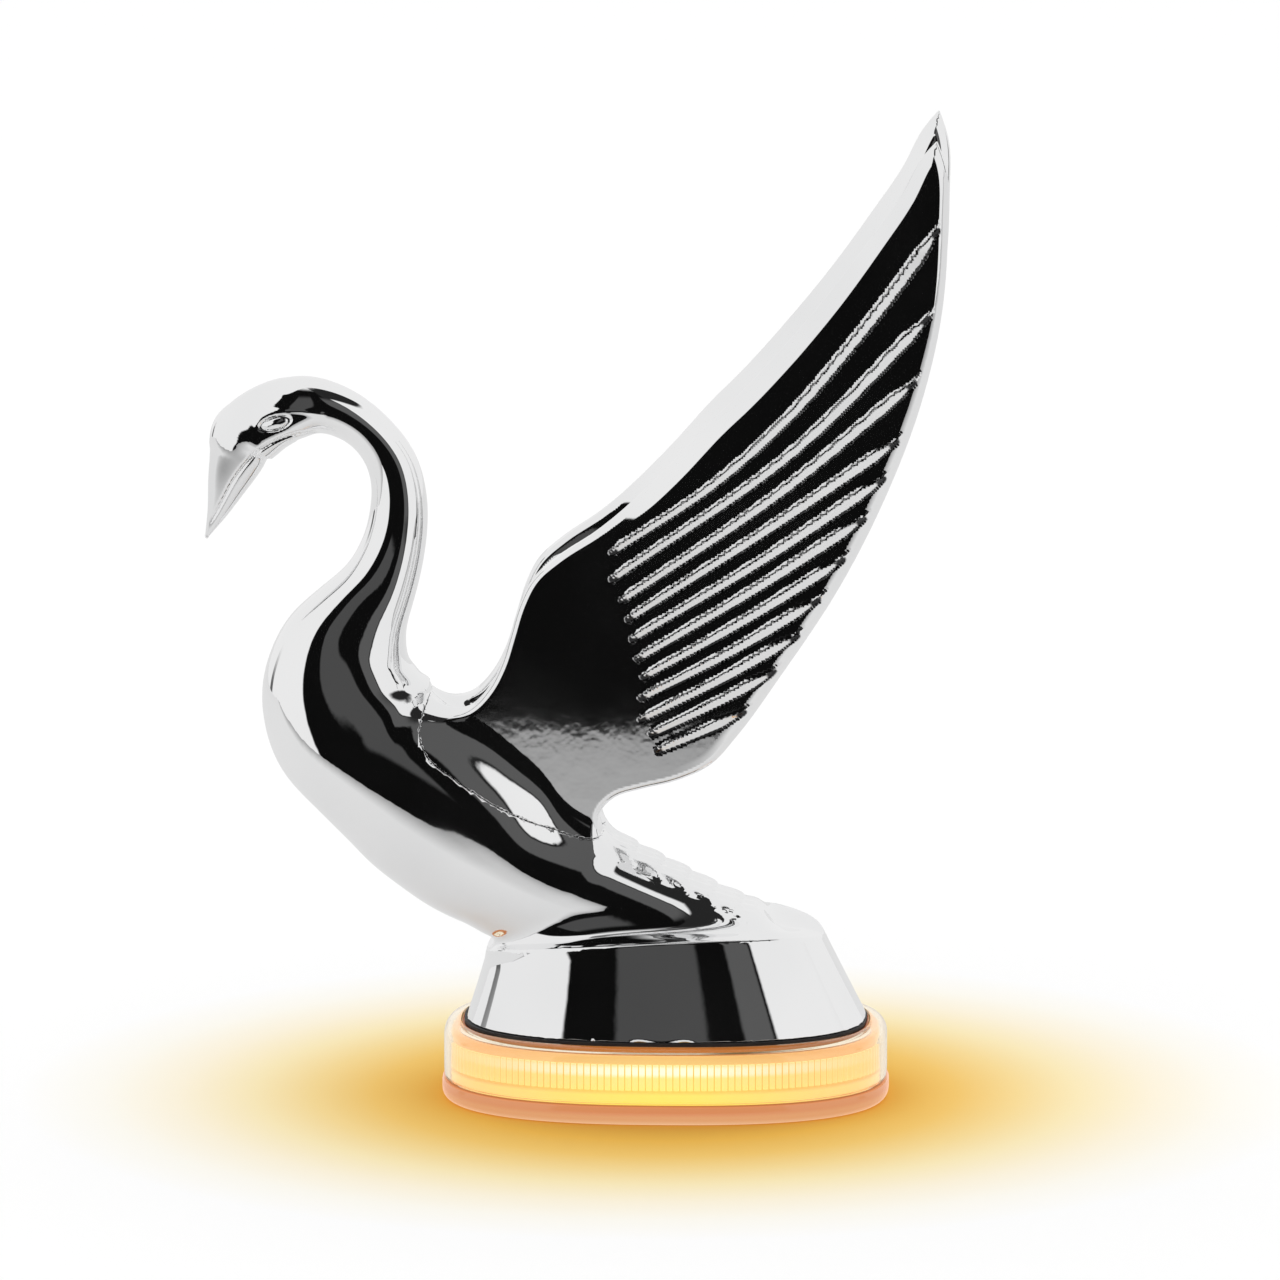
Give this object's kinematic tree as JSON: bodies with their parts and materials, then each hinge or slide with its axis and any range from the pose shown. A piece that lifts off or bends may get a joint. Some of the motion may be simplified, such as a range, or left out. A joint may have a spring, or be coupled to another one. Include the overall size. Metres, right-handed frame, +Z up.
{
  "type": "hood ornament",
  "caption": "Chrome-plated swan with raised wings on a flared foot, standing on an oval amber light unit that bolts down through its base.",
  "frame": {"origin": "centre of the light unit's flat underside", "axes": "+Z up, the swan looks along -X, its left wing is on -Y"},
  "size_m": [0.1581, 0.068, 0.2084],
  "materials": {
    "chrome_casting": "bright chrome plate on die-cast zinc",
    "chrome_wing": "bright chrome plate on die-cast zinc",
    "amber_lens": "clear amber moulded plastic, fluted inside",
    "amber_tray": "translucent amber moulded plastic",
    "black_rubber": "moulded rubber",
    "foam": "closed-cell foam",
    "board": "white solder mask on glass fibre",
    "led_case": "white moulded package",
    "led_glow": "yellow phosphor, lit",
    "reflector_white": "white moulded plastic",
    "black_chip": "moulded epoxy with tinned ends",
    "tan_chip": "ceramic with tinned ends",
    "tinned": "tinned metal",
    "zinc_steel": "zinc-plated steel"
  },
  "bodies": {
    "root": {"swan_body": "chrome_casting", "left_wing": "chrome_wing", "right_wing": "chrome_wing", "wing_screws": "zinc_steel", "wing_washers": "zinc_steel", "foot_gasket": "black_rubber", "lens": "amber_lens", "lens_seal": "black_rubber", "lens_tray": "amber_tray", "lens_screws": "zinc_steel", "foam_pad": "foam", "wire_grommet": "black_rubber", "circuit_board": "board", "board_screws": "zinc_steel", "led_packages": "led_case", "led_domes": "led_glow", "reflector": "reflector_white", "resistors": "black_chip", "capacitors": "tan_chip", "rectifier_diode": "black_chip", "voltage_regulator": "black_chip", "wire_terminals": "tinned", "retaining_screws": "zinc_steel", "retaining_washers": "zinc_steel"}
  },
  "joints": []
}
